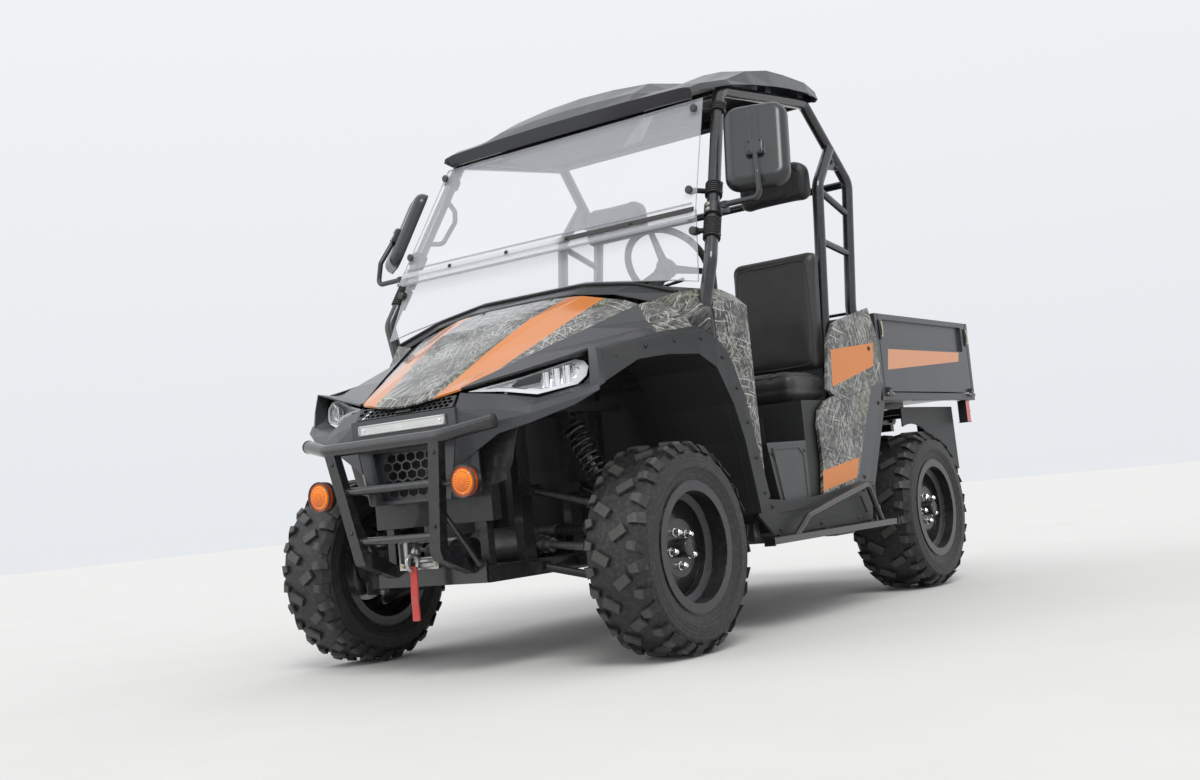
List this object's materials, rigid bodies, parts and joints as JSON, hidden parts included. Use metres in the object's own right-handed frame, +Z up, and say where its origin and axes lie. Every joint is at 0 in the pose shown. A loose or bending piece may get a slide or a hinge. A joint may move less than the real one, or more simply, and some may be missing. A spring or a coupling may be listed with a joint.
{
  "type": "side by side utility vehicle",
  "caption": "Two-seat off-road utility vehicle with roll cage, moulded roof, clear windscreen, bull bar with winch, opening bonnet, steered front wheels and a tipping drop-side cargo bed.",
  "frame": {"origin": "on the ground, under the middle of the overall length and width", "axes": "+X towards the vehicle's left, +Y towards its rear, +Z up"},
  "size_m": [1.9036, 3.207, 2.0949],
  "materials": {
    "frame_steel": "satin",
    "black_plastic": "satin",
    "grey_plastic": "matt",
    "camouflage": "gloss with a printed dry-grass pattern",
    "dark_metal": "satin",
    "bed_paint": "satin",
    "bare_steel": "brushed",
    "amber": "clear gloss",
    "red_webbing": "woven",
    "clear": "clear",
    "mirror_glass": "polished",
    "lens": "clear",
    "vinyl": "grained",
    "rubber": "matt",
    "tyre": "matt",
    "cast": "rough",
    "red_lens": "clear gloss"
  },
  "bodies": {
    "chassis": {"arch_liners": "black_plastic", "b_panels": "camouflage", "bed_stops": "rubber", "bumper": "frame_steel", "cage": "frame_steel", "cage_rear": "frame_steel", "cowl": "black_plastic", "dash": "black_plastic", "driveline": "cast", "fairlead": "bare_steel", "fascia": "black_plastic", "fenders": "camouflage", "flares": "black_plastic", "floor": "black_plastic", "frame": "frame_steel", "front_frame": "frame_steel", "grilles": "black_plastic", "headlight_bodies": "black_plastic", "headlights": "lens", "headrests": "vinyl", "hitch": "dark_metal", "hood_hinges": "dark_metal", "indicator_cases": "black_plastic", "indicators": "amber", "mirror_brackets": "black_plastic", "mudguards": "black_plastic", "name_plate": "bare_steel", "rear_frame": "frame_steel", "rear_trims": "grey_plastic", "roof": "black_plastic", "screen_clamps": "rubber", "screens": "clear", "seat_base": "black_plastic", "seats": "vinyl", "shocks": "dark_metal", "sills": "black_plastic", "steering_column": "black_plastic", "step_bars": "frame_steel", "suspension": "dark_metal", "winch": "dark_metal", "winch_hook": "bare_steel", "winch_strap": "red_webbing"},
    "steering_rack": {"steering_rack": "bare_steel"},
    "knuckle_left": {"knuckle_left": "cast"},
    "knuckle_right": {"knuckle_right": "cast"},
    "steering_wheel": {"steering_wheel": "rubber"},
    "wheel_front_left": {"wheel_front_left": "tyre"},
    "wheel_front_right": {"wheel_front_right": "tyre"},
    "wheel_rear_left": {"wheel_rear_left": "tyre"},
    "wheel_rear_right": {"wheel_rear_right": "tyre"},
    "hood": {"hood": "camouflage"},
    "mirror_left": {"mirror_left": "black_plastic", "mirror_glass_left": "mirror_glass"},
    "mirror_right": {"mirror_right": "black_plastic", "mirror_glass_right": "mirror_glass"},
    "bed": {"bed": "bed_paint", "rear_lamps": "red_lens"},
    "bed_side_left": {"bed_side_left": "bed_paint"},
    "bed_side_right": {"bed_side_right": "bed_paint"},
    "tailgate": {"tailgate": "bed_paint"}
  },
  "joints": [
    {"name": "steer_left", "type": "hinge", "parent": "chassis", "child": "knuckle_left", "pos_m": [0.59, -1.04, 0.33], "axis": [0, 0, 1], "range_deg": [-30, 30]},
    {"name": "steer_right", "type": "hinge", "parent": "chassis", "child": "knuckle_right", "pos_m": [-0.59, -1.04, 0.33], "axis": [0, 0, 1], "range_deg": [-30, 30]},
    {"name": "steering_wheel_turn", "type": "hinge", "parent": "chassis", "child": "steering_wheel", "pos_m": [0.33, -0.36, 1.33], "axis": [0, 0.788, 0.6157], "range_deg": [-300, 300]},
    {"name": "rack_slide", "type": "slide", "parent": "chassis", "child": "steering_rack", "axis": [1, 0, 0], "range_m": [-0.044, 0.044]},
    {"name": "wheel_front_left_spin", "type": "hinge", "parent": "knuckle_left", "child": "wheel_front_left", "pos_m": [0.661, -1.04, 0.33], "axis": [1, 0, 0], "continuous": true},
    {"name": "wheel_front_right_spin", "type": "hinge", "parent": "knuckle_right", "child": "wheel_front_right", "pos_m": [-0.661, -1.04, 0.33], "axis": [1, 0, 0], "continuous": true},
    {"name": "wheel_rear_left_spin", "type": "hinge", "parent": "chassis", "child": "wheel_rear_left", "pos_m": [0.592, 0.96, 0.33], "axis": [1, 0, 0], "continuous": true},
    {"name": "wheel_rear_right_spin", "type": "hinge", "parent": "chassis", "child": "wheel_rear_right", "pos_m": [-0.592, 0.96, 0.33], "axis": [1, 0, 0], "continuous": true},
    {"name": "hood_open", "type": "hinge", "parent": "chassis", "child": "hood", "pos_m": [0, -0.856, 1.186], "axis": [-1, 0, 0], "range_deg": [0, 50]},
    {"name": "bed_tip", "type": "hinge", "parent": "chassis", "child": "bed", "pos_m": [0, 1.43, 0.742], "axis": [-1, 0, 0], "range_deg": [0, 42]},
    {"name": "bed_side_left_drop", "type": "hinge", "parent": "bed", "child": "bed_side_left", "pos_m": [0.714, 1.08, 0.814], "axis": [0, 1, 0], "range_deg": [0, 90]},
    {"name": "bed_side_right_drop", "type": "hinge", "parent": "bed", "child": "bed_side_right", "pos_m": [-0.714, 1.08, 0.814], "axis": [0, -1, 0], "range_deg": [0, 90]},
    {"name": "tailgate_drop", "type": "hinge", "parent": "bed", "child": "tailgate", "pos_m": [0, 1.595, 0.814], "axis": [-1, 0, 0], "range_deg": [0, 90]},
    {"name": "mirror_left_fold", "type": "hinge", "parent": "chassis", "child": "mirror_left", "pos_m": [0.752, -0.636, 1.432], "axis": [0, 0, -1], "range_deg": [0, 60]},
    {"name": "mirror_right_fold", "type": "hinge", "parent": "chassis", "child": "mirror_right", "pos_m": [-0.752, -0.636, 1.432], "axis": [0, 0, 1], "range_deg": [0, 60]}
  ],
  "couplings": [
    {"joint": "steer_right", "follows": "steer_left", "ratio": 1},
    {"joint": "steering_wheel_turn", "follows": "steer_left", "ratio": 10},
    {"joint": "rack_slide", "follows": "steer_left", "m_per_rad": -0.084}
  ]
}
